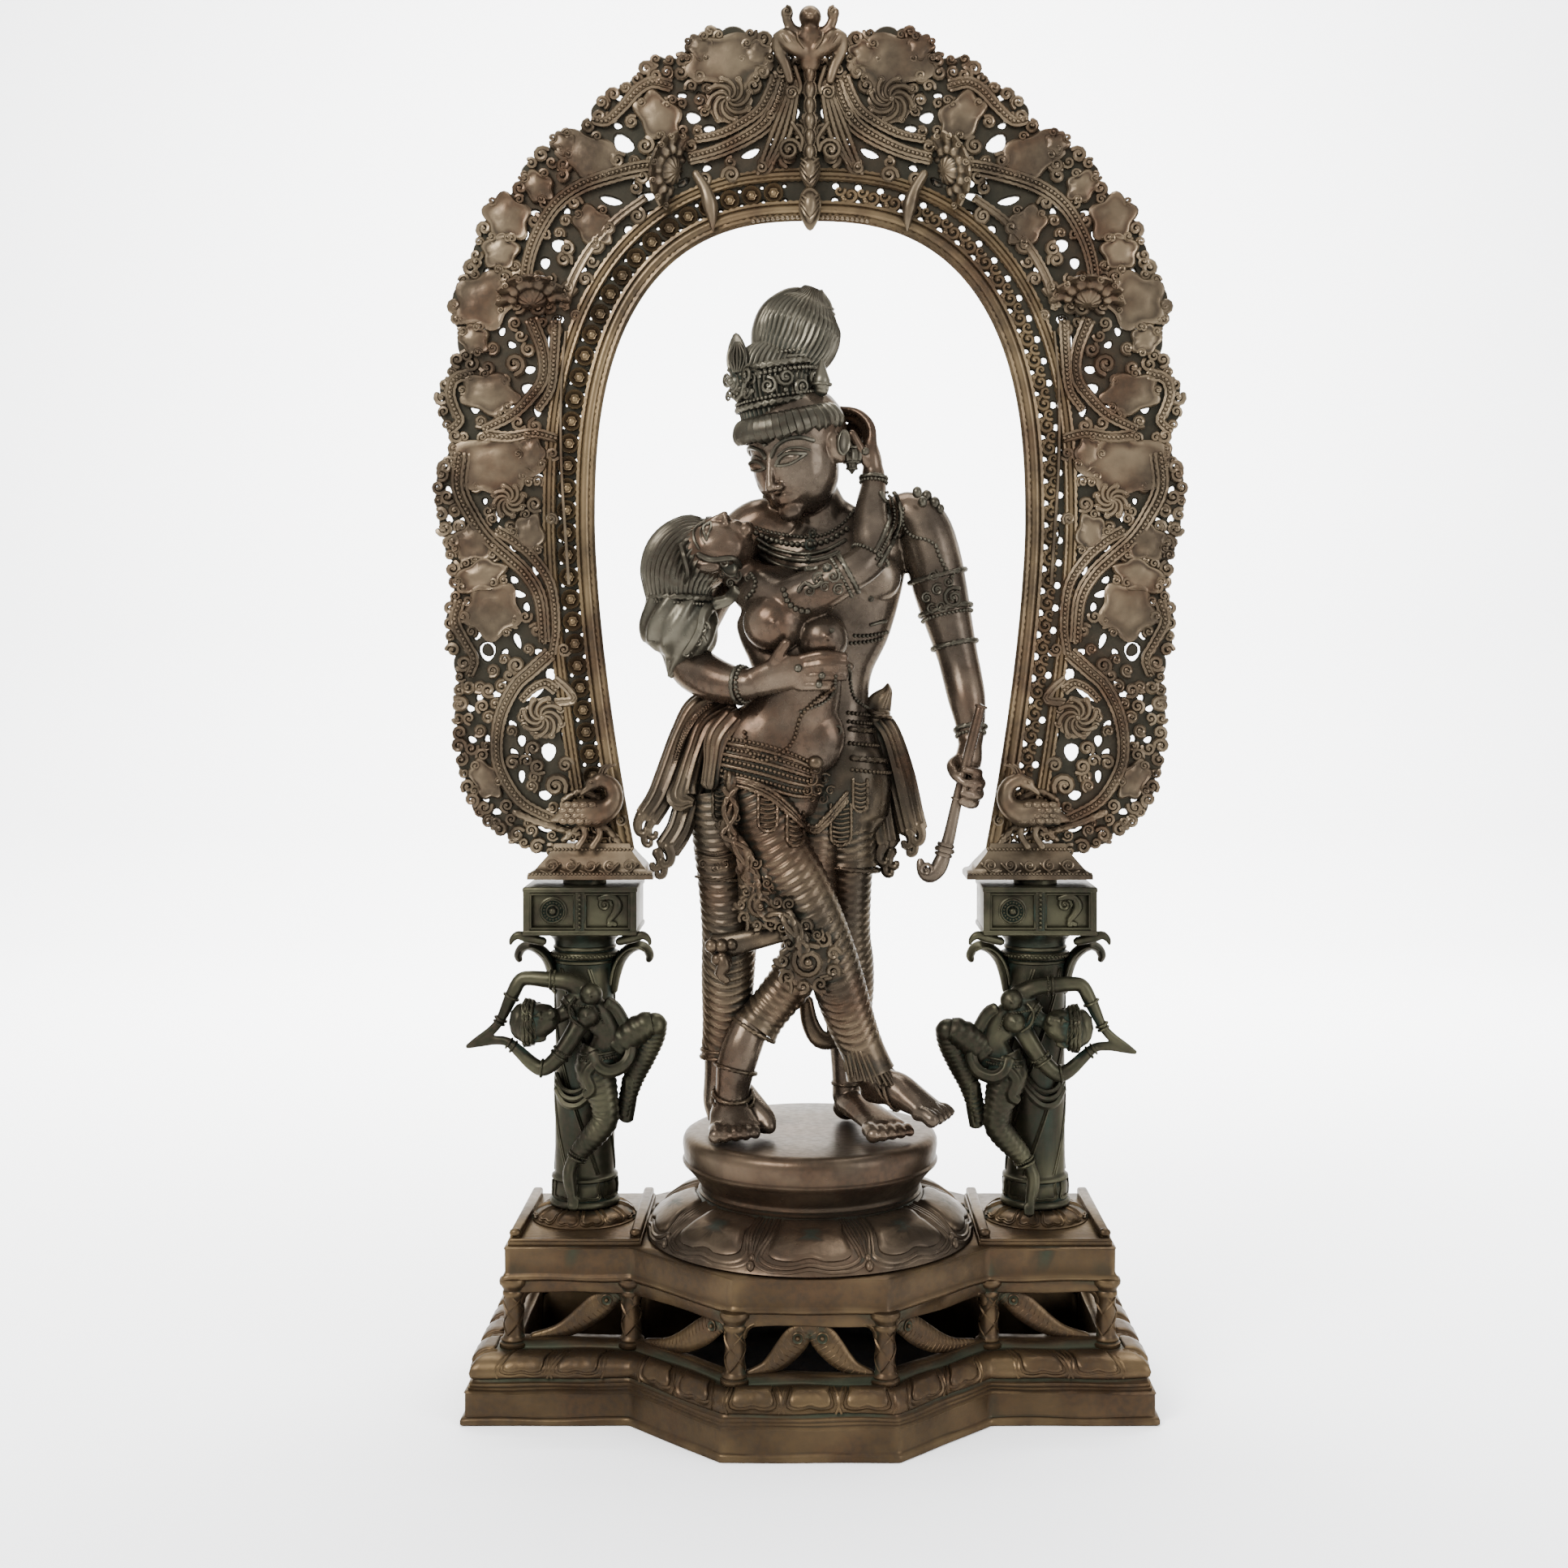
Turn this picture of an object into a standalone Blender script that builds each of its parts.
"""Bronze group of a flute-playing god and his consort under a pierced arch.

Millimetres, +Z up, the viewer looks along +Y. The origin is the middle of the base's underside.
Separate castings: the base, the lotus pedestal, the couple, the flute, two pillars and the arch.
"""

import math

import bmesh
import bpy
from mathutils import Euler, Matrix, Vector

MM = 0.001
SEAT_GAP = 0.3
FLAT_WITHIN = 1.0

# Base
BASE_LENGTH = 460.0
WING_DEPTH = 178.0
BAY_DEPTH = 298.0
BAY_FACE = 113.0
BAY_ROOT = 238.0
BAY_SHARE = 0.7
PLINTH_HEIGHT = 42.0
RAILING_HEIGHT = 46.0
SLAB_HEIGHT = 22.0
RAILING_INSET = 31.0
POST_RADIUS = 7.0
RAIL_WIDTH = 9.0
BOTTOM_RAIL = 6.5
TOP_RAIL = 8.0
STRUT_THICKNESS = 4.0
SLAB_INSET = 24.0

# Trays on the wings, and the lotus boss that each pillar stands on
PILLAR_FROM_END = 72.0
TRAY_WIDTH = 90.0
TRAY_DEPTH = 120.0
TRAY_HEIGHT = 4.0
TRAY_BAR = 7.0
TRAY_BAR_HEIGHT = 5.0
BOSS_RADIUS = 36.0
BOSS_HEIGHT = 9.0

# Lotus pedestal
LOTUS_RADIUS = 112.0
LOTUS_HEIGHT = 30.0
LOTUS_NECK = 76.0
DRUM_RADIUS = 88.0
DRUM_HEIGHT = 37.0
PETALS = 10
PEDESTAL_SHIFT = -11.0

# Pillars
PILLAR_HEIGHT = 224.0
SHAFT_RADIUS = 20.5
FOOT_RADIUS = 24.5
BOX_WIDTH = 77.0
BOX_DEPTH = 62.0
BOX_HEIGHT = 33.0
PEG_HEIGHT = 4.0
PEG_RADIUS = 15.0
DANCER_HEIGHT = 150.0

# Arch, measured from the underside of its foot plates. Its carving is drawn in parts of its
# own spring height, rise and half span, and stretches with them.
SPRING_PARTS = 248
RISE_PARTS = 214
SPAN_PARTS = 152.7
FOOT_PLATE_WIDTH = 87.0
FOOT_PLATE_DEPTH = 44.0
FOOT_PLATE_HEIGHT = 20.0
FOOT_PLATE_SHIFT = 6.0
SPRING_HEIGHT = 248.0
SPAN_INSET = 5.3
RISE = 214.0
SQUARENESS = 2.57
WAIST_INSET = 27.7
WAIST_POWER = 1.564
INNER_RAIL = 10.0
INNER_RAIL_DEPTH = 15.0
OUTER_RAIL = 6.5
OUTER_RAIL_DEPTH = 11.0
RAIL_SPACING = 27.0
WEB_THICKNESS = 5.0
WEB_REACH = 86.0
ARCH_VOXEL = 2.0
ARCH_TRIANGLES = 3000

# Couple and flute
COUPLE_HEIGHT = 586.0
COUPLE_PARTS = 586
COUPLE_VOXEL = 2.4
COUPLE_TRIANGLES = 2080
FLUTE_RADIUS = 3.4
DANCER_PARTS = 150
DANCER_VOXEL = 1.8
DANCER_TRIANGLES = 400

PILLAR_SPACING = BASE_LENGTH - 2 * PILLAR_FROM_END
HALF_SPAN = PILLAR_SPACING / 2 - SPAN_INSET
SLAB_TOP = PLINTH_HEIGHT + RAILING_HEIGHT + SLAB_HEIGHT
BOSS_TOP = SLAB_TOP + TRAY_HEIGHT + BOSS_HEIGHT
PILLAR_FOOT = BOSS_TOP + SEAT_GAP
PILLAR_TOP = PILLAR_FOOT + PILLAR_HEIGHT
ARCH_FOOT = PILLAR_TOP + PEG_HEIGHT + SEAT_GAP
PEDESTAL_FOOT = SLAB_TOP + SEAT_GAP
DRUM_TOP = PEDESTAL_FOOT + LOTUS_HEIGHT + DRUM_HEIGHT
COUPLE_FOOT = DRUM_TOP + SEAT_GAP


def bronze(name, color, roughness):
    material = bpy.data.materials.new(name)
    material.use_nodes = True
    shader = material.node_tree.nodes["Principled BSDF"]
    shader.inputs["Base Color"].default_value = (*color, 1.0)
    shader.inputs["Metallic"].default_value = 1.0
    shader.inputs["Roughness"].default_value = roughness
    return material


def object_from(name, bm, material=None, outwards=True):
    """Turns a bmesh in millimetres into an object in metres, with its faces outwards."""
    if outwards:
        bmesh.ops.recalc_face_normals(bm, faces=bm.faces)
    bmesh.ops.scale(bm, vec=(MM, MM, MM), verts=bm.verts)
    mesh = bpy.data.meshes.new(name)
    bm.to_mesh(mesh)
    bm.free()
    thing = bpy.data.objects.new(name, mesh)
    bpy.context.scene.collection.objects.link(thing)
    if material:
        mesh.materials.append(material)
    return thing


def loft(bm, rings):
    """Joins equal rings of points with faces, and closes both ends."""
    rows = [[bm.verts.new(point) for point in ring] for ring in rings]
    count = len(rows[0])
    for low, high in zip(rows, rows[1:]):
        for i in range(count):
            j = (i + 1) % count
            bm.faces.new((low[i], low[j], high[j], high[i]))
    bm.faces.new(reversed(rows[0]))
    bm.faces.new(rows[-1])


def prism(outline, low, high):
    """An upright prism over a plan outline of (x, y) points."""
    bm = bmesh.new()
    loft(bm, [[(x, y, z) for x, y in outline] for z in (low, high)])
    return bm


def plate(outline, front, back):
    """A flat plate in the XZ plane, from an outline of (x, z) points."""
    bm = bmesh.new()
    loft(bm, [[(x, y, z) for x, z in outline] for y in (front, back)])
    return bm


def box(x0, x1, y0, y1, z0, z1):
    return prism([(x0, y0), (x1, y0), (x1, y1), (x0, y1)], z0, z1)


def turned(profile, sides, centre=(0.0, 0.0)):
    """A solid of revolution about a vertical line, from (radius, height) pairs."""
    bm = bmesh.new()
    rings = []
    for radius, height in profile:
        angles = [math.tau * i / sides for i in range(sides)]
        rings.append(
            [(centre[0] + radius * math.cos(a), centre[1] + radius * math.sin(a), height)
             for a in angles]
        )
    loft(bm, rings)
    return bm


def limb(bm, stations, sides=10):
    """A rounded limb through stations of (x, y, z, half width, half thickness)."""
    points = [Vector(s[:3]) for s in stations]
    rings = []
    side = Vector((1.0, 0.0, 0.0))
    for i, point in enumerate(points):
        along = (points[min(i + 1, len(points) - 1)] - points[max(i - 1, 0)]).normalized()
        side = side - along * side.dot(along)
        if side.length < 0.2:
            side = along.cross(Vector((0.0, 1.0, 0.0)))
        side.normalize()
        across = along.cross(side)
        wide, thick = stations[i][3], stations[i][4] if len(stations[i]) > 4 else stations[i][3]
        rings.append(
            [point + side * wide * math.cos(a) + across * thick * math.sin(a)
             for a in (math.tau * k / sides for k in range(sides))]
        )
    loft(bm, rings)
    for point, station in ((points[0], stations[0]), (points[-1], stations[-1])):
        thick = station[4] if len(station) > 4 else station[3]
        ball(bm, point, (min(station[3], thick),) * 3)


def ball(bm, centre, radii, turn=(0, 0, 0)):
    matrix = Matrix.LocRotScale(
        Vector(centre), Euler([math.radians(a) for a in turn]), Vector(radii)
    )
    bmesh.ops.create_icosphere(bm, subdivisions=2, radius=1.0, matrix=matrix)


def united(name, pieces, material, cuts=()):
    """One solid from overlapping pieces, with cutters taken away. Each is a bmesh."""
    first, *others = [object_from(f"{name}_piece", bm) for bm in pieces]
    helpers = []
    for operation, members in (("UNION", others), ("DIFFERENCE", [
            object_from(f"{name}_cut", bm) for bm in cuts])):
        if not members:
            continue
        group = bpy.data.collections.new(f"{name}_{operation}")
        bpy.context.scene.collection.children.link(group)
        for member in members:
            bpy.context.scene.collection.objects.unlink(member)
            group.objects.link(member)
        modifier = first.modifiers.new(operation.title(), "BOOLEAN")
        modifier.operation = operation
        modifier.operand_type = "COLLECTION"
        modifier.collection = group
        modifier.solver = "EXACT"
        helpers.append((group, members))
    merge = first.modifiers.new("Flat faces", "DECIMATE")
    merge.decimate_type = "DISSOLVE"
    merge.angle_limit = math.radians(FLAT_WITHIN)
    return baked(name, first, material, helpers)


def joined(pieces):
    """One bmesh that holds several, which are used up."""
    whole = bmesh.new()
    for bm in pieces:
        bmesh.ops.recalc_face_normals(bm, faces=bm.faces)
        mesh = bpy.data.meshes.new("piece")
        bm.to_mesh(mesh)
        bm.free()
        whole.from_mesh(mesh)
        bpy.data.meshes.remove(mesh)
    return whole


def lifted(thing):
    """The mesh of an object as a bmesh in millimetres. The object is used up."""
    bm = bmesh.new()
    bm.from_mesh(thing.data)
    bmesh.ops.scale(bm, vec=(1 / MM,) * 3, verts=bm.verts)
    bpy.data.objects.remove(thing)
    return bm


def baked(name, thing, material, helpers=()):
    """The object's mesh with its modifiers applied, under its final name."""
    graph = bpy.context.evaluated_depsgraph_get()
    mesh = bpy.data.meshes.new_from_object(thing.evaluated_get(graph))
    bpy.data.objects.remove(thing)
    for group, members in helpers:
        for member in members:
            bpy.data.objects.remove(member)
        bpy.data.collections.remove(group)
    mesh.materials.clear()
    if material:
        mesh.materials.append(material)
    result = bpy.data.objects.new(name, mesh)
    bpy.context.scene.collection.objects.link(result)
    return result


def carved(name, bm, voxel, triangles, material):
    """Melts overlapping limbs into one skin, then thins it to a number of triangles."""
    rough = object_from(f"{name}_rough", bm, outwards=False)
    remesh = rough.modifiers.new("Melt", "REMESH")
    remesh.mode = "VOXEL"
    remesh.voxel_size = voxel * MM
    soften = rough.modifiers.new("Soften", "SMOOTH")
    soften.factor = 0.5
    soften.iterations = 2
    graph = bpy.context.evaluated_depsgraph_get()
    skin = rough.evaluated_get(graph).to_mesh()
    skin.calc_loop_triangles()
    share = triangles / len(skin.loop_triangles)
    rough.evaluated_get(graph).to_mesh_clear()
    thin = rough.modifiers.new("Thin", "DECIMATE")
    thin.ratio = min(1.0, share)
    return baked(name, rough, material)


# The base: a stepped plan, a lotus moulding, a railing and a slab

def plan(inset):
    """The base's twelve-cornered outline, drawn in all round, and by less on the bay."""
    end, wing, root = BASE_LENGTH / 2, WING_DEPTH / 2, BAY_ROOT / 2
    face, front = BAY_FACE / 2, BAY_DEPTH / 2
    slope = Vector((front - wing, root - face)).normalized()
    bay_inset = inset * BAY_SHARE
    reach = slope.dot(Vector((root, wing))) - bay_inset
    side, nose = wing - inset, front - bay_inset
    quarter = [(end - inset, side), ((reach - slope.y * side) / slope.x, side),
               ((reach - slope.y * nose) / slope.x, nose)]
    half = quarter + [(-x, y) for x, y in reversed(quarter)]
    return half + [(-x, -y) for x, y in half]


def moulding(outer, wall_inset, floor, capped):
    """A moulding from its (inset, height) profile, hollowed from below inside a straight wall."""
    rings = [[(x, y, z) for x, y in plan(inset)] for inset, z in outer]
    wall = [[(x, y, z) for x, y in plan(wall_inset)] for z in floor]
    bm = bmesh.new()
    if capped:
        loft(bm, list(reversed(wall)) + rings)
        return bm
    rows = [[bm.verts.new(p) for p in ring] for ring in wall + rings]
    rows.append(rows[0])
    for lower, upper in zip(rows, rows[1:]):
        for i in range(len(lower)):
            j = (i + 1) % len(lower)
            bm.faces.new((lower[i], lower[j], upper[j], upper[i]))
    return bm


def post(x, y, low, high):
    wide, slim = POST_RADIUS * 1.25, POST_RADIUS * 0.92
    profile = [(wide, low), (slim, low + 8), (slim, high - 8), (wide, high)]
    return turned(profile, 6, (x, y))


def strut(start, end, low, high):
    """A bowed bracket that falls from the head of one post towards another."""
    bm = bmesh.new()
    across = Vector((end[0] - start[0], end[1] - start[1], 0.0))
    out = Vector((across.y, -across.x, 0.0)).normalized() * STRUT_THICKNESS / 2
    rings = []
    for share, fall, half in ((0.0, 0.0, 3.0), (0.2, 0.3, 6.0), (0.42, 0.66, 6.5), (0.7, 1.0, 3.0)):
        centre = Vector((start[0], start[1], high)) + across * share
        centre.z += (low - high) * fall
        lift = (across.normalized() * 0.75 + Vector((0.0, 0.0, 0.66))) * half
        rings.append([centre - lift - out, centre - lift + out, centre + lift + out,
                      centre + lift - out])
    loft(bm, rings)
    return bm


def make_base(material):
    low, high = PLINTH_HEIGHT, PLINTH_HEIGHT + RAILING_HEIGHT
    outer, inner = RAILING_INSET - RAIL_WIDTH / 2, RAILING_INSET + RAIL_WIDTH / 2
    plinth = [
        (0.0, 0.0), (0.0, 4.0), (2.5, 6.0), (2.5, 20.5), (5.0, 21.5), (5.0, 25.5),
        (7.5, 28.0), (9.0, 36.0), (outer - 3.0, 41.5), (outer, low), (outer, low + BOTTOM_RAIL),
    ]
    cornice = [
        (outer, high - TOP_RAIL), (outer, high), (SLAB_INSET, high + 1.5),
        (SLAB_INSET + 1.5, high + 4.0), (SLAB_INSET + 1.5, SLAB_TOP),
    ]
    pieces = [
        moulding(plinth, inner, (low + BOTTOM_RAIL, 0.0), False),
        moulding(cornice, inner, (high - TOP_RAIL, high), True),
    ]
    corners = plan(RAILING_INSET)
    for x, y in corners:
        pieces.append(post(x, y, low + BOTTOM_RAIL / 3, high - TOP_RAIL / 3))
    foot, head = low + BOTTOM_RAIL, high - TOP_RAIL * 0.6
    for sign_y in (1, -1):
        for sign_x in (1, -1):
            outer_post, root_post, face_post = [
                (sign_x * x, sign_y * y) for x, y in corners[:3]]
            pieces.append(strut(root_post, outer_post, foot, head))
            pieces.append(strut(face_post, root_post, foot, head))
            pieces.append(strut((sign_x * 2.5, face_post[1]),
                                (sign_x * BAY_FACE / 2, face_post[1]), foot, head))
    for side in (-1, 1):
        x, overlap = side * PILLAR_SPACING / 2, 1.0
        half, deep = TRAY_WIDTH / 2, TRAY_DEPTH / 2
        top = SLAB_TOP + TRAY_HEIGHT
        pieces.append(box(x - half, x + half, -deep, deep, SLAB_TOP - overlap, top))
        for edge in (-1, 1):
            outer_x, inner_x = x + edge * (half - 1.0), x + edge * (half - 1.0 - TRAY_BAR)
            pieces.append(box(min(outer_x, inner_x), max(outer_x, inner_x),
                              1.5 - deep, deep - 1.5, top - overlap, top + TRAY_BAR_HEIGHT))
        boss = [(BOSS_RADIUS, top - overlap), (BOSS_RADIUS, top + 2.0),
                (BOSS_RADIUS * 0.93, top + BOSS_HEIGHT * 0.55),
                (BOSS_RADIUS * 0.68, top + BOSS_HEIGHT)]
        pieces.append(turned(boss, 14, (x, 0.0)))
    return united("base", pieces, material)


# The lotus pedestal

def make_pedestal(material):
    bm = bmesh.new()
    foot, neck = PEDESTAL_FOOT, PEDESTAL_FOOT + LOTUS_HEIGHT
    belly = DRUM_RADIUS
    levels = [
        (LOTUS_RADIUS * 0.94, foot, 0.5), (LOTUS_RADIUS, foot + 3.0, 1.0),
        (LOTUS_RADIUS * 0.99, foot + 8.0, 1.0), (LOTUS_RADIUS * 0.91, foot + LOTUS_HEIGHT * 0.55, 0.7),
        (LOTUS_NECK, neck, 0.0),
        (belly - 3.0, neck + DRUM_HEIGHT * 0.42, 0.0), (belly, neck + DRUM_HEIGHT * 0.47, 0.0),
        (belly, neck + DRUM_HEIGHT * 0.85, 0.0), (belly - 5.0, neck + DRUM_HEIGHT, 0.0),
    ]
    per_petal = 4
    sides = PETALS * per_petal
    dip = 3.5
    rings = []
    for radius, z, carving in levels:
        ring = []
        for i in range(sides):
            angle = math.tau * (i + per_petal / 2) / sides
            groove = dip * carving if i % per_petal == 0 else 0.0
            reach = radius - groove
            ring.append((reach * math.sin(angle), PEDESTAL_SHIFT - reach * math.cos(angle), z))
        rings.append(ring)
    loft(bm, rings)
    return object_from("lotus_pedestal", bm, material)


# The pillars, each with a dancer cast in front of its shaft

def bracket_leaf(x, side):
    """A curling leaf that springs from the shaft to the underside of the box."""
    bm = bmesh.new()
    top = PILLAR_TOP - BOX_HEIGHT
    start = x + side * (SHAFT_RADIUS - 4.0)
    path = [(0, 34), (6, 18), (16, 7), (23, 9), (25, 18)]
    limb(bm, [(start + side * out, -2.0, top - down, 5.0 - 0.8 * i, 14.0 - 1.5 * i)
              for i, (out, down) in enumerate(path)], 6)
    return bm


def dancer(bm, place, mirror, scale):
    """The bending dancer: drawn for the left pillar, turned over for the right one."""
    def at(*values):
        x, y, z, *radii = values
        return (place[0] + mirror * x * scale, place[1] + y * scale, place[2] + z * scale,
                *(r * scale for r in radii))

    def run(*stations):
        limb(bm, [at(*s) for s in stations], 8)

    # Standing leg and its foot
    run((12, -26, 88, 12), (10, -30, 70, 11.5), (9, -33, 50, 9), (2, -33, 32, 8), (-6, -31, 18, 5.5),
        (-9, -30, 8, 4.5), (-6, -36, 2, 4.5))
    # Lifted leg, bent back to its own knee
    run((18, -26, 86, 11), (30, -26, 96, 10), (46, -26, 112, 8.5), (49, -25, 108, 7),
        (36, -22, 82, 7), (28, -22, 64, 4.5), (24, -26, 54, 4))
    # Hips, waist and chest
    run((14, -26, 84, 14, 11), (15, -27, 98, 11, 9), (8, -29, 114, 10, 9), (-4, -30, 124, 13, 10))
    ball(bm, at(4, -40, 116)[:3], (7.5 * scale,) * 3)
    ball(bm, at(6, -40, 132)[:3], (7.0 * scale,) * 3)
    # Head thrown to the side
    run((-8, -31, 122, 5), (-18, -32, 118, 5))
    ball(bm, at(-26, -34, 115)[:3], (12.5 * scale, 11 * scale, 11.5 * scale))
    # Arms that close above the head
    run((-6, -30, 134, 6.5), (-22, -28, 141, 6), (-42, -28, 142, 5), (-52, -28, 122, 4.5),
        (-60, -28, 110, 3.5), (-76, -28, 99, 2.6))
    run((-2, -32, 112, 6.5), (-14, -34, 94, 6), (-26, -34, 84, 5), (-44, -31, 96, 4.5),
        (-56, -29, 104, 3.5), (-76, -28, 99, 2.6))
    # Scarf from the shoulder to the hip
    run((12, -26, 128, 3.5, 5), (22, -24, 112, 3, 5), (26, -26, 92, 3, 5), (14, -36, 88, 4, 4))


def make_pillar(name, side, material):
    x = side * PILLAR_SPACING / 2
    foot, top = PILLAR_FOOT, PILLAR_TOP
    shaft_top = top - BOX_HEIGHT
    profile = [
        (FOOT_RADIUS, foot), (FOOT_RADIUS, foot + 4), (SHAFT_RADIUS + 1, foot + 14),
        (SHAFT_RADIUS, foot + 32), (SHAFT_RADIUS, shaft_top - 44),
        (SHAFT_RADIUS + 2.5, shaft_top - 20), (SHAFT_RADIUS + 5, shaft_top - 16),
        (SHAFT_RADIUS + 5, shaft_top - 11), (SHAFT_RADIUS + 9, shaft_top + 1),
    ]
    half, deep, rim, sunk = BOX_WIDTH / 2, BOX_DEPTH / 2, 5.0, 3.0
    pieces = [
        turned(profile, 12, (x, 0.0)),
        box(x - half, x + half, -deep, deep, shaft_top, top),
        turned([(PEG_RADIUS, top - 2), (PEG_RADIUS, top + PEG_HEIGHT)], 12, (x, 0.0)),
    ]
    cuts = []
    for panel in (-1, 1):
        x0, x1 = sorted((x + panel * rim / 2, x + panel * (half - rim)))
        cuts.append(box(x0, x1, -deep - 2, sunk - deep, shaft_top + rim, top - rim))
    bm = bmesh.new()
    figure_scale = DANCER_HEIGHT / DANCER_PARTS
    dancer(bm, (x, 0.0, foot + 8), -side, figure_scale)
    limb(bm, [(x, -14, foot + 40, 14), (x, -14, foot + 170, 14)], 8)
    carving = joined([bm, bracket_leaf(x, -1), bracket_leaf(x, 1)])
    pieces.append(lifted(
        carved(f"{name}_dancer", carving, DANCER_VOXEL, DANCER_TRIANGLES, material)))
    return united(name, pieces, material, cuts)


# The arch: two rails, a web between them and the scrolled border outside

def inner_edge(steps=240):
    """Points from the left foot to the crown of the opening, evenly spaced."""
    raw = []
    for i in range(101):
        share = 1 - i / 100
        drop = (SPRING_HEIGHT - FOOT_PLATE_HEIGHT) * share
        inset = WAIST_INSET * share ** WAIST_POWER
        raw.append(Vector((inset - HALF_SPAN, SPRING_HEIGHT - drop)))
    for i in range(1, 201):
        angle = math.pi / 2 * i / 200
        power = 2 / SQUARENESS
        raw.append(Vector((-HALF_SPAN * max(math.cos(angle), 0.0) ** power,
                           SPRING_HEIGHT + RISE * math.sin(angle) ** power)))
    lengths = [0.0]
    for a, b in zip(raw, raw[1:]):
        lengths.append(lengths[-1] + (b - a).length)
    points, k = [], 0
    for i in range(steps + 1):
        goal = lengths[-1] * i / steps
        while k < len(raw) - 2 and lengths[k + 1] < goal:
            k += 1
        share = (goal - lengths[k]) / (lengths[k + 1] - lengths[k])
        points.append(raw[k].lerp(raw[k + 1], share))
    return points


EDGE = inner_edge()


def carved_at(x, z):
    """Where a place in the drawn carving lands on the arch, as (x, height over the foot plate)."""
    if z <= SPRING_PARTS:
        height = z * SPRING_HEIGHT / SPRING_PARTS
    else:
        height = SPRING_HEIGHT + (z - SPRING_PARTS) * RISE / RISE_PARTS
    return x * HALF_SPAN / SPAN_PARTS, height


def outward(index):
    """The direction away from the opening at one point of the edge."""
    before, after = EDGE[max(index - 1, 0)], EDGE[min(index + 1, len(EDGE) - 1)]
    along = (after - before).normalized()
    return Vector((0.0, 1.0)) if index == len(EDGE) - 1 else Vector((-along.y, along.x))


def offset(index, distance):
    return EDGE[index] + outward(index) * distance


def both_sides(left):
    """Continues a left-hand row of points over the crown and down the right."""
    return left + [Vector((-p.x, p.y)) for p in reversed(left[:-1])]


def rail(inside, width, depth, step=8):
    """A bevelled bar that follows the opening."""
    bm = bmesh.new()
    half, bevel = depth / 2, width * 0.25
    section = [(0.0, bevel - half), (bevel, -half), (width - bevel, -half), (width, bevel - half),
               (width, half - bevel), (0.0, half - bevel)]
    rows = []
    for index in range(0, len(EDGE), step):
        ring = []
        for reach, y in section:
            p = offset(index, inside + reach)
            ring.append(Vector((p.x, y, ARCH_FOOT + p.y)))
        rows.append(ring)
    mirrored = [[Vector((-p.x, p.y, p.z)) for p in ring] for ring in reversed(rows[:-1])]
    loft(bm, rows + mirrored)
    return bm


# Round leaves and curls along the border of the left side: (x, height, radius)
BORDER_LEAVES = [
    (-189, 31, 8), (-200, 39, 10), (-213, 47, 10), (-227, 57, 11), (-234, 73, 12), (-237, 92, 12),
    (-237, 112, 12), (-233, 131, 13), (-224, 150, 13), (-232, 172, 12), (-224, 191, 20),
    (-228, 221, 18), (-243, 243, 11), (-248, 262, 11), (-248, 281, 11), (-239, 299, 12),
    (-243, 322, 12), (-244, 344, 12), (-226, 338, 18), (-231, 370, 14), (-230, 398, 18),
    (-228, 424, 15), (-214, 446, 22), (-203, 466, 16), (-186, 481, 13), (-160, 500, 25),
    (-142, 531, 12), (-121, 536, 14), (-104, 552, 16), (-86, 565, 14), (-55, 566, 31),
]
# The larger gaps in the left border: (x, height, radius)
BORDER_GAPS = [
    (-127, 515, 5.5), (-80, 537, 4.5), (-131, 476, 4.5), (-147, 470, 5), (-175, 446, 5),
    (-182, 432, 5), (-219, 381, 4.5), (-195, 353, 3.5), (-204, 334, 4.5), (-230, 325, 4.5),
    (-210, 277, 4.5), (-195, 246, 5.5), (-223, 156, 6.5), (-201, 165, 4.5), (-177, 140, 6),
    (-198, 122, 6), (-201, 93, 4.5), (-180, 89, 6), (-166, 69, 3.5), (-184, 56, 3.2),
]
# The beaded stems that wave through the border: (x, height) for each of five sweeps
STEMS = [
    [(-10, 541), (-20, 510), (-50, 490), (-84, 482)],
    [(-96, 486), (-135, 487), (-168, 467), (-191, 430), (-196, 408)],
    [(-182, 388), (-176, 350), (-188, 318), (-220, 298)],
    [(-241, 276), (-233, 244), (-204, 216), (-182, 182), (-176, 150)],
    [(-200, 138), (-218, 108), (-214, 74), (-192, 48), (-166, 40)],
]
# Spiral centres on the left: (x, height, radius)
SPIRALS = [
    (-189, 108, 21), (-172, 58, 12), (-206, 262, 14), (-203, 358, 17), (-55, 547, 24),
    (-151, 455, 15), (-24, 470, 13), (-97, 516, 9),
]
CUPS = [(-87, 492, 22, -8), (-189, 401, 24, 0)]
CUP_FLATNESS = 0.62
LOBE_STEP = 3


def border_reach(index):
    """How far the border stands out from the opening at one point, from the leaves there."""
    origin, out = EDGE[index], outward(index)
    reach = WEB_REACH * min(1.0, 0.5 + index / 40)
    for x, z, radius in BORDER_LEAVES:
        away = Vector(carved_at(x, z)) - origin
        along = away.dot(out)
        aside = away.cross(out)
        if abs(aside) < radius and along > 0:
            reach = max(reach, along + math.sqrt(radius ** 2 - aside ** 2))
    return reach


def disc(x, z, radius, half, sides=8):
    """A flat disc in the plane of the arch."""
    mid_x, mid_z = carved_at(x, z)
    turns = [math.tau * i / sides for i in range(sides)]
    outline = [(mid_x + radius * math.cos(a), ARCH_FOOT + mid_z + radius * math.sin(a))
               for a in turns]
    return plate(outline, -half, half)


STEM_SECTION = [(-1, 0.6), (-0.3, 1), (0.3, 1), (1, 0.6), (1, -0.6), (-1, -0.6)]


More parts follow.
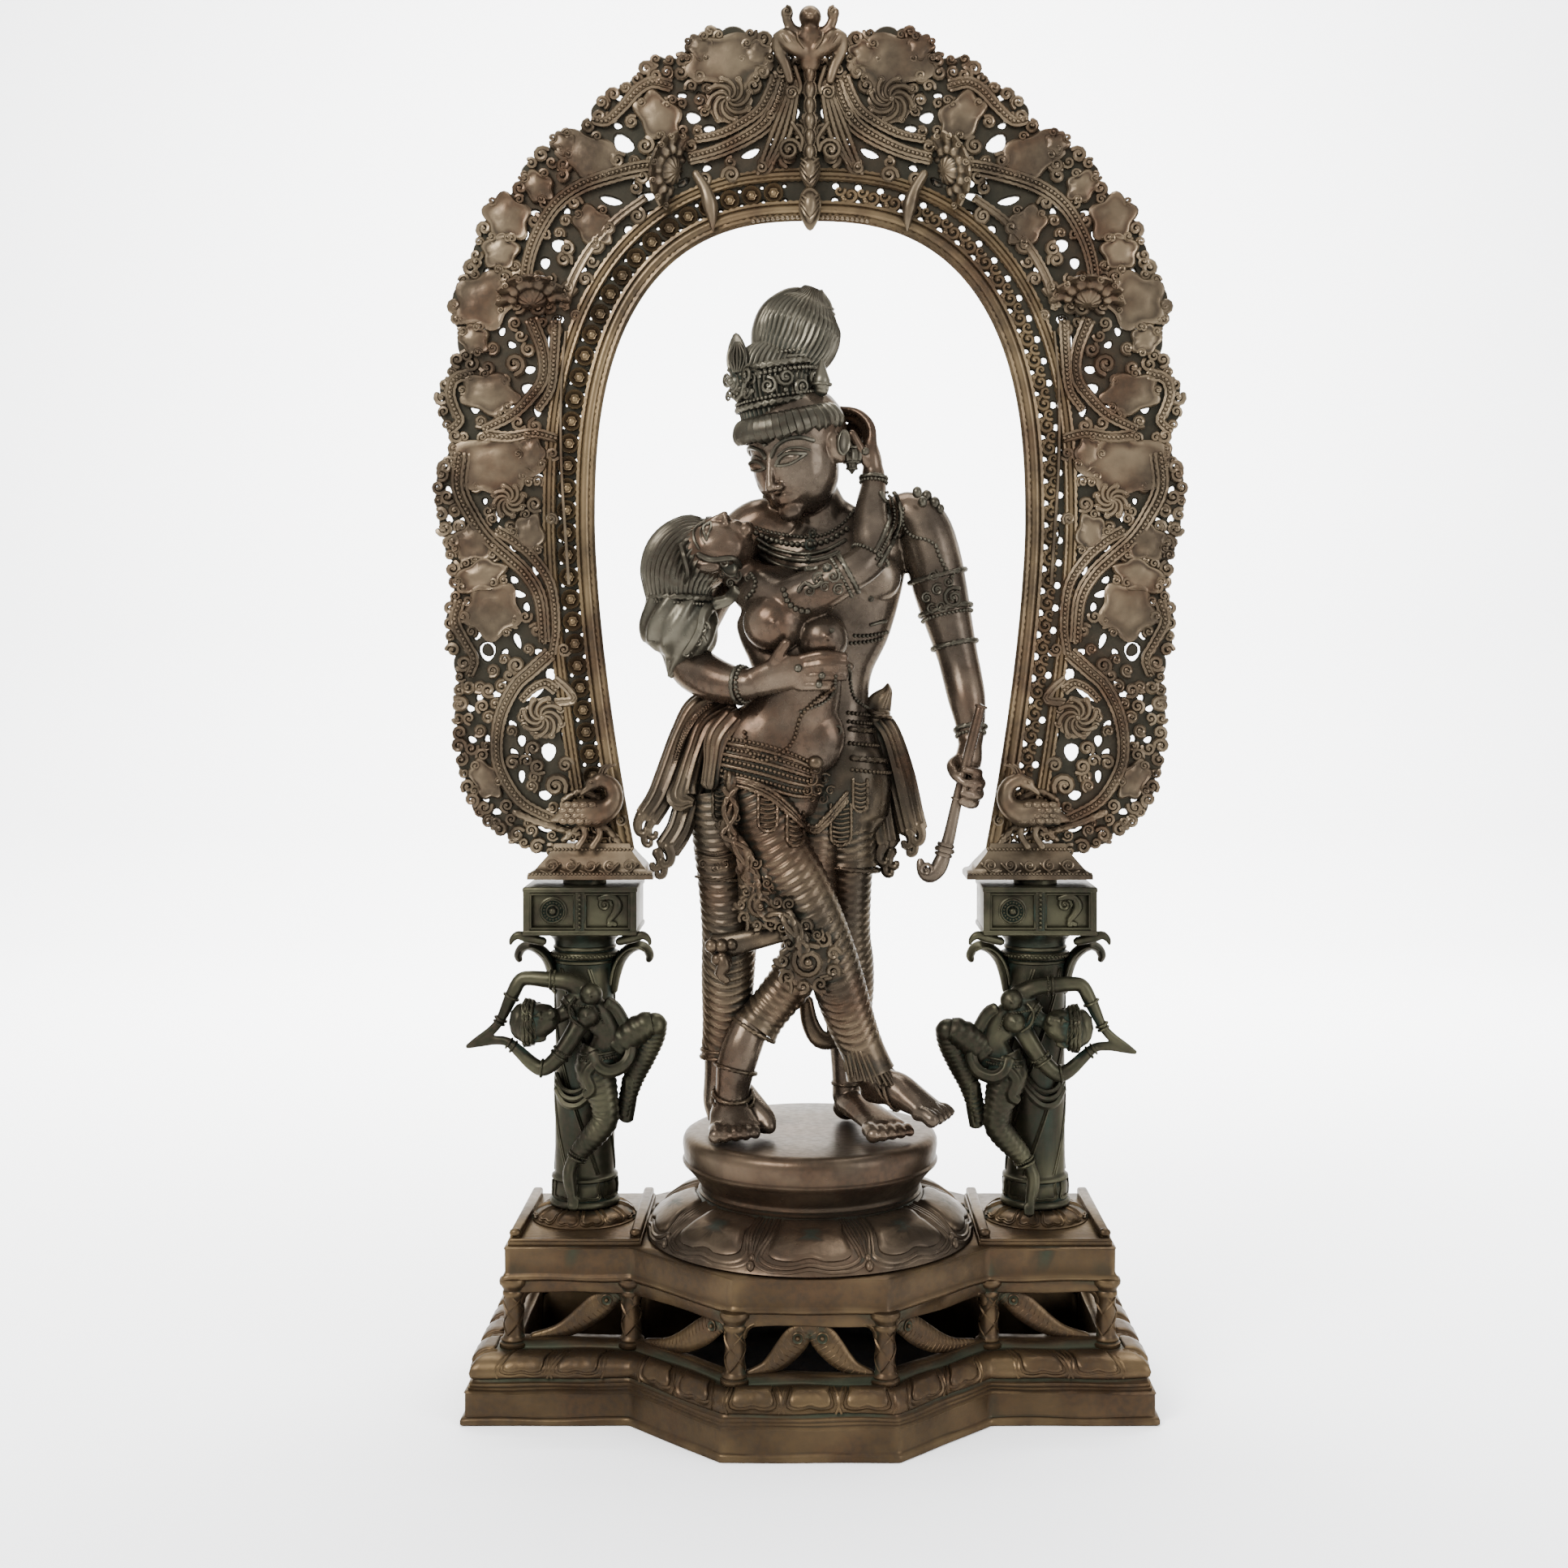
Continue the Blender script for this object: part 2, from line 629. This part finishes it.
def stem(points, half_width, front):
    """A raised stem that tapers along its run, standing on both faces of the web."""
    bm = bmesh.new()
    places = [carved_at(x, z) for x, z in points]
    places = [Vector((x, 0.0, ARCH_FOOT + z)) for x, z in places]
    last = len(places) - 1
    rings = []
    for i, place in enumerate(places):
        wide = half_width * (1.0 - 0.35 * i / last)
        along = (places[min(i + 1, last)] - places[max(i - 1, 0)]).normalized()
        side = Vector((along.z, 0.0, -along.x))
        rings.append([place + side * wide * u - Vector((0.0, front * v, 0.0))
                      for u, v in STEM_SECTION])
    loft(bm, rings)
    return bm


def mirrored(bm):
    twin = bm.copy()
    bmesh.ops.scale(twin, vec=(-1, 1, 1), verts=twin.verts)
    bmesh.ops.reverse_faces(twin, faces=twin.faces)
    return twin


def cup(x, z, radius, lean):
    """A flower cup that leans out over the web."""
    bm = bmesh.new()
    mid_x, mid_z = carved_at(x, z)
    centre = Vector((mid_x, -6.0, ARCH_FOOT + mid_z))
    aim = Vector((math.sin(math.radians(lean)), -0.55, -0.25)).normalized()
    turn = aim.to_track_quat("Z", "Y")
    rings = []
    for reach, share in ((-6, 0.35), (4, 0.6), (14, 1.0), (17, 0.92), (10, 0.45)):
        wide, high = radius * share, radius * share * CUP_FLATNESS
        rings.append([centre + aim * reach + turn @ Vector((wide * math.cos(a), high * math.sin(a), 0))
                      for a in (math.tau * i / 10 for i in range(10))])
    loft(bm, rings)
    return bm


def arch_limb(bm, stations, sides=8):
    """A limb drawn in the arch's own parts."""
    moved = []
    for x, y, z, *radii in stations:
        mid_x, mid_z = carved_at(x, z)
        moved.append((mid_x, y, ARCH_FOOT + mid_z, *radii))
    limb(bm, moved, sides)


def crown_guardian():
    """The little crouching guardian at the crown, over the leaf that ends as a cusp."""
    bm = bmesh.new()
    for side in (-1, 1):
        ball(bm, (side * 15, -10, ARCH_FOOT + carved_at(0, 593)[1]), (8, 8, 8))
        arch_limb(bm, [(side * 6, -10, 572, 9), (side * 17, -14, 576, 9), (side * 23, -10, 566, 7),
                       (side * 21, -6, 550, 6)])
    arch_limb(bm, [(0, -10, 598, 9.5, 8), (0, -10, 588, 12, 11), (0, -8, 572, 12, 10),
                   (0, -5, 553, 9, 7), (0, -7, 513, 5.5, 6), (0, -7, 478, 6.5, 6),
                   (0, -8, 456, 4, 4), (0, -8, 448, 1.8, 2)])
    return bm


def bird():
    """The peacock on the left foot, its head turned back over its body."""
    bm = bmesh.new()
    arch_limb(bm, [(-172, -12, 44, 3, 5), (-160, -16, 49, 8, 9), (-145, -18, 50, 10, 11),
                   (-133, -16, 58, 8, 9), (-126, -15, 72, 6, 7), (-135, -16, 82, 5, 6),
                   (-143, -18, 72, 4, 5), (-142, -19, 62, 2, 3)])
    arch_limb(bm, [(-144, -14, 44, 3), (-141, -12, 24, 3), (-145, -16, 17, 3)], 6)
    return bm


def web():
    """The flat sheet behind the scrolls, lobed along its border and pierced between them."""
    samples = list(range(0, len(EDGE), LOBE_STEP))
    outer = both_sides([offset(i, border_reach(i)) for i in samples])
    inner = both_sides([offset(i, INNER_RAIL * 0.6) for i in range(0, len(EDGE), 8)])
    outline = [(p.x, ARCH_FOOT + p.y) for p in outer + list(reversed(inner))]
    half = WEB_THICKNESS / 2
    sheet = plate(outline, -half, half)
    bmesh.ops.triangulate(sheet, faces=[face for face in sheet.faces if len(face.verts) > 4])
    cuts = [disc(side * x, z, radius, WEB_THICKNESS * 3, 6)
            for x, z, radius in BORDER_GAPS for side in (1, -1)]
    return lifted(united("web", [sheet], None, cuts))


def foot_plate():
    """The stepped foot under the left end of the arch."""
    x = FOOT_PLATE_SHIFT - PILLAR_SPACING / 2
    wide, deep, high = FOOT_PLATE_WIDTH / 2, FOOT_PLATE_DEPTH / 2, FOOT_PLATE_HEIGHT
    bm = bmesh.new()
    loft(bm, [
        [(x + u * wide * w, v * deep * d, ARCH_FOOT + z)
         for u, v in ((-1, -1), (1, -1), (1, 1), (-1, 1))]
        for w, d, z in ((1, 1, -4), (1, 1, 3), (0.82, 0.8, 9), (0.66, 0.55, high),
                        (0.6, 0.4, high + 4))
    ])
    return bm


def make_arch(material):
    left = [stem(points, 6.0, 6.5) for points in STEMS]
    left += [disc(x, z, radius, 5.5, 10) for x, z, radius in SPIRALS]
    left += [cup(x, z, radius, lean) for x, z, radius, lean in CUPS]
    left += [bird(), foot_plate()]
    carving = [web(), rail(0.0, INNER_RAIL, INNER_RAIL_DEPTH),
               rail(RAIL_SPACING, OUTER_RAIL, OUTER_RAIL_DEPTH), crown_guardian()]
    for piece in left:
        carving += [mirrored(piece), piece]
    skin = carved("arch_carving", joined(carving), ARCH_VOXEL, ARCH_TRIANGLES, material)
    reach = BASE_LENGTH
    under = box(-reach, reach, -reach, reach, ARCH_FOOT - 30, ARCH_FOOT)
    return united("arch", [lifted(skin)], material, [under])


# The couple, drawn from the drum's top at the middle of the pedestal

def couple_limbs(bm):
    """Both figures as rounded limbs: (x, y, z, half width, half thickness)."""
    def run(*stations):
        limb(bm, stations)

    # The consort's standing leg and foot, on the left
    run((-64, -10, 234, 19), (-62, -14, 204, 18), (-59, -16, 176, 18), (-56, -17, 153, 18.5),
        (-56, -17, 131, 18), (-56, -13, 105, 17.5), (-58, -11, 79, 15.5), (-59, -10, 55, 12.5),
        (-61, -8, 36, 9.5), (-61, -4, 20, 11))
    run((-61, 0, 11, 11.5, 8), (-57, -22, 13, 13.5, 8.5), (-52, -40, 10, 16, 6), (-48, -54, 7, 17, 4.5))
    # Her crossing leg, in front, with its foot on his
    run((-38, -12, 240, 25), (-30, -22, 216, 23.5), (-21, -32, 194, 21), (-8, -40, 173, 20),
        (3, -45, 152, 18), (12, -44, 129, 17.5), (20, -44, 104, 17), (28, -43, 80, 15.5),
        (36, -43, 62, 13), (42, -43, 48, 10), (44, -40, 36, 9.5))
    run((42, -38, 33, 8.5, 7), (53, -44, 35, 9, 9.5), (68, -50, 29, 12, 7), (81, -54, 22, 15, 5),
        (91, -57, 18, 14.5, 4))
    # His standing leg and foot, on the right
    run((24, 8, 239, 22), (25, 8, 202, 19), (25, 7, 162, 17.5), (26, 8, 133, 16.5),
        (28, 11, 110, 17), (28, 12, 87, 16.5), (26, 12, 64, 14), (25, 10, 47, 11),
        (25, 10, 30, 8.5), (26, 12, 18, 10.5))
    run((26, 12, 11, 10.5, 8), (34, -8, 9, 12.5, 8.5), (47, -34, 8, 15.5, 6), (57, -54, 5, 16.5, 4.5))
    # His crossing leg, behind hers, standing on its toes
    run((4, 6, 239, 21.5), (1, 0, 197, 19.5), (0, -8, 164, 18), (-1, -15, 136, 17),
        (-10, -17, 108, 16), (-25, -19, 89, 14.5), (-35, -22, 77, 12), (-45, -25, 68, 9.5),
        (-54, -26, 59, 8.5))
    run((-46, -27, 62, 11), (-45, -30, 43, 9.5), (-39, -30, 27, 8, 7), (-30, -28, 13, 6, 5),
        (-24, -24, 6, 5, 4))
    # Her body, from the hips to the throat
    run((-34, -8, 229, 41, 26), (-31, -10, 249, 43, 26), (-23, -14, 268, 37, 23.5),
        (-11, -17, 288, 32.5, 21.5), (-8, -18, 311, 30.5, 21.5), (-12, -18, 336, 31.5, 22.5),
        (-20, -16, 356, 31.5, 21.5), (-30, -14, 372, 26, 17), (-43, -14, 383, 13.5, 12.5),
        (-52, -15, 390, 12.5, 12.5))
    ball(bm, (-23, -34, 350), (21, 20, 20))
    ball(bm, (9, -34, 340), (16.5, 18, 16.5))
    ball(bm, (6, -20, 277), (22, 18, 21))
    # Her head, thrown back with the face upwards, and her hair with its long knot
    ball(bm, (-76, -15, 394), (27, 26, 26))
    ball(bm, (-58, -16, 402), (21, 20, 19))
    ball(bm, (-90, -13, 386), (19, 27, 27))
    limb(bm, [(-88, -12, 366, 23, 24), (-90, -12, 350, 26.5, 25), (-89, -12, 336, 23, 22),
              (-92, -12, 325, 12, 12), (-96, -12, 318, 4, 5)])
    # His body
    run((20, 10, 240, 36, 26), (20, 11, 270, 28, 22), (19, 10, 298, 22, 19), (20, 10, 322, 24, 20),
        (24, 9, 352, 36, 23), (20, 8, 385, 50, 25), (14, 8, 408, 57, 21), (12, 6, 424, 32, 17),
        (8, 2, 436, 17.5, 17), (2, 0, 446, 17, 17))
    # His head, turned down to her
    ball(bm, (-14, -8, 470), (34, 34, 36))
    ball(bm, (-14, -19, 445), (22, 21, 21))
    limb(bm, [(-50, -22, 477, 8.5), (-42, -37, 485, 9), (-20, -43, 491, 9), (2, -36, 493, 9),
              (13, -20, 491, 8)], 8)
    # Diadem, topknot, feather and plume
    limb(bm, [(-18, -9, 498, 30, 30), (-22, -8, 521, 33, 32), (-20, -7, 532, 30, 29)], 12)
    limb(bm, [(-17, -6, 534, 25, 24), (-11, -5, 548, 29, 27), (-7, -4, 562, 29, 27),
              (-4, -3, 574, 22, 20), (-2, -3, 579, 12, 12)], 12)
    limb(bm, [(-34, -6, 552, 5, 12), (-24, -5, 572, 7, 13), (-8, -4, 583, 5, 8), (0, -4, 586, 2, 3)],
         8)
    limb(bm, [(6, -2, 572, 8), (7, -2, 580, 5), (8, -2, 583, 2)], 8)
    limb(bm, [(-48, -33, 512, 8, 7), (-49, -33, 526, 8, 6), (-51, -31, 540, 5, 4),
              (-52, -30, 547, 1.5, 1.5)], 8)
    # His hanging arm and the hand round the flute
    run((68, 6, 432, 17), (79, 6, 421, 19.5), (87, 4, 396, 20.5), (94, 2, 368, 19),
        (101, -2, 339, 15.5), (106, -5, 321, 14), (109, -12, 299, 13), (111, -19, 274, 9.5),
        (110, -22, 263, 9))
    run((110, -24, 263, 9, 10), (107, -28, 249, 11, 11), (112, -34, 243, 8.5, 8),
        (115, -46, 240, 6, 5.5), (108, -56, 241, 5, 5))
    run((104, -28, 255, 5.5, 5.5), (97, -42, 250, 5, 5), (99, -54, 243, 4.5, 4.5))
    # His other arm, behind her back and round her waist
    run((-28, 12, 424, 19), (-48, 16, 410, 19.5), (-68, 16, 380, 18), (-87, 6, 341, 17),
        (-80, -12, 320, 16.5), (-62, -28, 310, 15), (-44, -38, 309, 12), (-30, -45, 312, 11, 9.5),
        (-10, -52, 319, 11, 6.5), (8, -54, 322, 9.5, 5.5), (22, -48, 326, 5.5, 4.5))
    run((-24, -50, 320, 5.5), (-18, -56, 330, 5), (-14, -56, 337, 4.5))
    # Her arm, across him and up behind his neck
    run((-34, -18, 370, 17), (-17, -34, 365, 18), (7, -44, 374, 15.5), (28, -46, 385, 13),
        (41, -42, 395, 12.5), (39, -30, 417, 12.5), (42, -20, 437, 10), (45, -14, 449, 8.5),
        (42, -8, 466, 8.5, 9.5), (34, -2, 484, 8, 7), (23, 4, 493, 6.5, 5))
    # Her other arm, round his back
    run((-40, 6, 384, 15), (-20, 30, 376, 14), (10, 36, 370, 12), (36, 32, 368, 10))
    # Sashes from her hip, with curled ends
    run((-62, 4, 292, 8, 9), (-86, -6, 282, 6, 9), (-97, -14, 249, 6, 9), (-106, -20, 225, 6, 8),
        (-113, -24, 212, 6, 6), (-111, -25, 204, 5, 5))
    run((-62, 0, 281, 9, 9), (-75, -8, 255, 8, 9), (-84, -16, 229, 8, 8), (-90, -22, 209, 7, 7),
        (-99, -28, 194, 7, 7), (-101, -30, 182, 5, 6), (-96, -30, 179, 4, 5))
    # The knot and sashes at his hip
    run((46, 14, 286, 8, 8), (50, 14, 296, 6, 6), (54, 14, 306, 3, 4))
    run((46, 16, 288, 9, 8), (55, 14, 274, 8, 8), (64, 12, 245, 8, 8), (70, 10, 215, 7, 8),
        (73, 8, 200, 6, 7), (74, 8, 192, 5, 5))
    run((40, 20, 284, 9, 9), (47, 18, 224, 10, 9), (53, 16, 193, 8, 8), (54, 14, 178, 6, 7),
        (51, 14, 170, 5, 6))
    # Belts and the cloth that hangs between the legs
    run((-66, -20, 276, 5, 5), (-52, -32, 262, 5, 4.5), (-25, -41, 250, 5.5, 4), (1, -40, 240, 7, 6),
        (24, -26, 247, 5, 5), (42, -8, 260, 5, 5))
    run((-40, -38, 236, 7, 5), (-36, -42, 206, 6, 5), (-29, -50, 174, 9, 6), (-14, -60, 152, 11, 6),
        (1, -62, 130, 10, 5), (6, -62, 118, 6, 4))
    # The scarf end that is knotted round her knee
    run((-68, -32, 138, 5, 5), (-46, -36, 139, 5, 5), (-26, -40, 150, 5, 5))
    ball(bm, (-60, -34, 130), (8, 7, 8))


def make_couple(material):
    bm = bmesh.new()
    couple_limbs(bm)
    size = COUPLE_HEIGHT / COUPLE_PARTS
    bmesh.ops.scale(bm, vec=(size,) * 3, verts=bm.verts)
    bmesh.ops.translate(bm, vec=(0, 0, COUPLE_FOOT), verts=bm.verts)
    body = lifted(carved("couple_skin", bm, COUPLE_VOXEL, COUPLE_TRIANGLES, material))
    reach = 160.0
    under = box(-reach, reach, -reach, reach, COUPLE_FOOT - 60, COUPLE_FOOT)
    groove = flute_solid(SEAT_GAP + 0.3)
    return united("couple", [body], material, [under, groove])


def flute_solid(extra=0.0):
    """The flute as a tapering rod with a ring and a small crook."""
    size = COUPLE_HEIGHT / COUPLE_PARTS
    bm = bmesh.new()
    top, bottom = Vector((116, -46, 294)), Vector((89, -51, 190))
    stations = []
    for share, swell in ((0, 0.9), (0.3, 0.95), (0.6, 1.05), (0.92, 1.5), (0.925, 1.85),
                         (0.96, 1.85), (0.965, 1.4), (1.0, 1.5)):
        p = top.lerp(bottom, share)
        stations.append((*p, FLUTE_RADIUS * swell + extra))
    tail = [(86, -51, 183, 5.5), (80, -51, 179, 5.0), (75, -51, 182, 4.0), (74, -51, 189, 2.8)]
    stations += [(x, y, z, r + extra) for x, y, z, r in tail]
    rings = []
    for i, (x, y, z, r) in enumerate(stations):
        before = Vector(stations[max(i - 1, 0)][:3])
        after = Vector(stations[min(i + 1, len(stations) - 1)][:3])
        turn = (after - before).to_track_quat("Z", "Y")
        rings.append([Vector((x, y, z)) + turn @ Vector((r * math.cos(a), r * math.sin(a), 0))
                      for a in (math.tau * k / 6 for k in range(6))])
    loft(bm, rings)
    bmesh.ops.scale(bm, vec=(size,) * 3, verts=bm.verts)
    bmesh.ops.translate(bm, vec=(0, 0, COUPLE_FOOT), verts=bm.verts)
    bmesh.ops.recalc_face_normals(bm, faces=bm.faces)
    return bm


def main():
    for old in list(bpy.data.objects):
        bpy.data.objects.remove(old)
    base_bronze = bronze("base_bronze", (0.16, 0.10, 0.055), 0.45)
    figure_bronze = bronze("figure_bronze", (0.13, 0.075, 0.05), 0.35)
    arch_bronze = bronze("arch_bronze", (0.20, 0.13, 0.07), 0.42)
    green_bronze = bronze("green_bronze", (0.11, 0.115, 0.07), 0.5)
    make_base(base_bronze)
    make_pedestal(figure_bronze)
    make_pillar("pillar_left", -1, green_bronze)
    make_pillar("pillar_right", 1, green_bronze)
    make_arch(arch_bronze)
    make_couple(figure_bronze)
    object_from("flute", flute_solid(), figure_bronze)


main()
